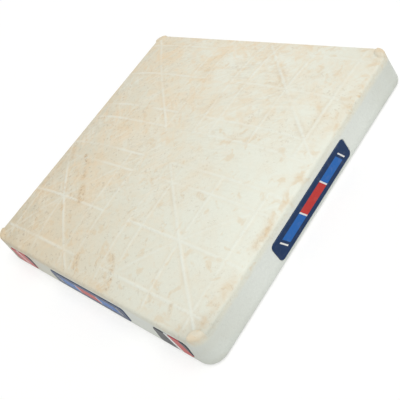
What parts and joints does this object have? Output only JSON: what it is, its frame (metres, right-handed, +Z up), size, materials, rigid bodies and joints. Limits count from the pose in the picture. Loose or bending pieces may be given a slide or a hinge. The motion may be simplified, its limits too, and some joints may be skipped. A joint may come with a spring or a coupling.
{
  "type": "baseball base",
  "caption": "Crowned square field base: white rubber cover with raised rib tread over a foam core, steel plate and square ground stem, with pull-out side inserts.",
  "frame": {"origin": "in the ground plane, under the middle of the base, where the stem enters the ground", "axes": "+Z up out of the ground; +X out of the side with one insert; -Y out of the side with three inserts"},
  "size_m": [0.3813, 0.3813, 0.1594],
  "materials": {
    "cover_rubber": "moulded white rubber, used on dirt",
    "core_foam": "closed-cell foam, cut",
    "plate_steel": "zinc-plated sheet steel",
    "stem_steel": "galvanised square tube",
    "zinc_fixings": "bright zinc",
    "insert_navy": "moulded plate, satin, printed",
    "badge_red": "moulded plate, satin, printed",
    "badge_dark": "moulded plate, satin, printed"
  },
  "bodies": {
    "base": {"rubber_cover": "cover_rubber", "foam_core": "core_foam", "base_plate": "plate_steel", "stem_flange": "plate_steel", "stem_tube": "stem_steel", "stem_bolt_1": "zinc_fixings", "stem_washer_1": "zinc_fixings", "stem_nut_1": "zinc_fixings", "stem_bolt_2": "zinc_fixings", "stem_washer_2": "zinc_fixings", "stem_nut_2": "zinc_fixings", "stem_bolt_3": "zinc_fixings", "stem_washer_3": "zinc_fixings", "stem_nut_3": "zinc_fixings", "stem_bolt_4": "zinc_fixings", "stem_washer_4": "zinc_fixings", "stem_nut_4": "zinc_fixings"},
    "right_insert": {"right_insert": "insert_navy"},
    "front_insert": {"front_insert": "insert_navy"},
    "front_left_badge": {"front_left_badge": "badge_red"},
    "front_right_badge": {"front_right_badge": "badge_dark"}
  },
  "joints": [
    {"name": "right_insert_pull", "type": "slide", "parent": "base", "child": "right_insert", "axis": [0.9932, 0, 0.1162], "range_m": [0, 0.014]},
    {"name": "front_insert_pull", "type": "slide", "parent": "base", "child": "front_insert", "axis": [0, -0.9932, 0.1162], "range_m": [0, 0.014]},
    {"name": "front_left_badge_pull", "type": "slide", "parent": "base", "child": "front_left_badge", "axis": [0, -0.9932, 0.1162], "range_m": [0, 0.014]},
    {"name": "front_right_badge_pull", "type": "slide", "parent": "base", "child": "front_right_badge", "axis": [0, -0.9932, 0.1162], "range_m": [0, 0.014]}
  ]
}
